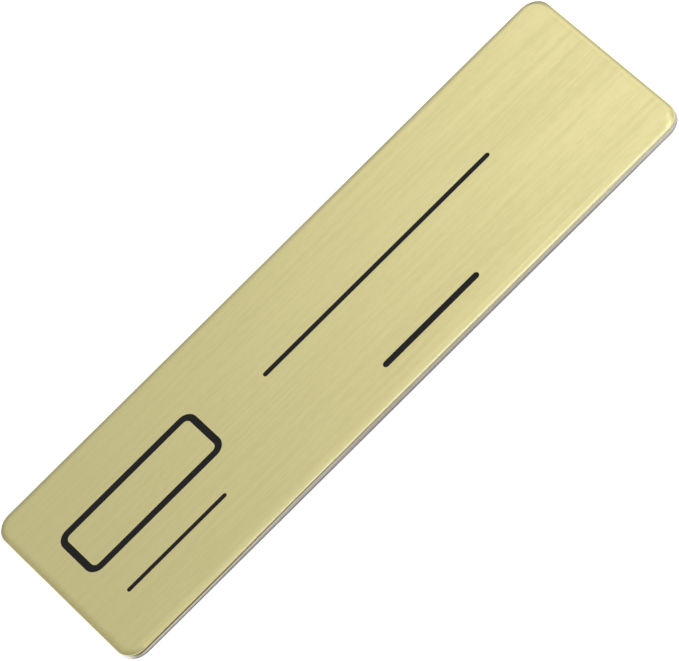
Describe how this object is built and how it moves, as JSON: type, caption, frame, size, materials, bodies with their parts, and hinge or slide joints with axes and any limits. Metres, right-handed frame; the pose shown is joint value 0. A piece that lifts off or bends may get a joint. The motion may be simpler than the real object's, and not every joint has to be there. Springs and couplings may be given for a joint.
{
  "type": "name badge",
  "caption": "Flat rectangular name badge: brushed gold sheet plate with rounded corners and a rolled edge, on a plain flat magnet bar that holds it to clothes.",
  "frame": {"origin": "middle of the magnet bar's underside, the face that meets the clothes", "axes": "+X along the plate's length, +Y across it towards its upper long edge, +Z out of the printed face"},
  "size_m": [0.0762, 0.0254, 0.0026],
  "materials": {
    "gold_coat": "brushed along the length, satin, gold coated; cut edge and back are bare aluminium",
    "nickel_plating": "satin nickel plating",
    "black_print": "flat black ink"
  },
  "bodies": {
    "root": {"face_plate": "gold_coat", "magnet_bar": "nickel_plating"}
  },
  "joints": []
}
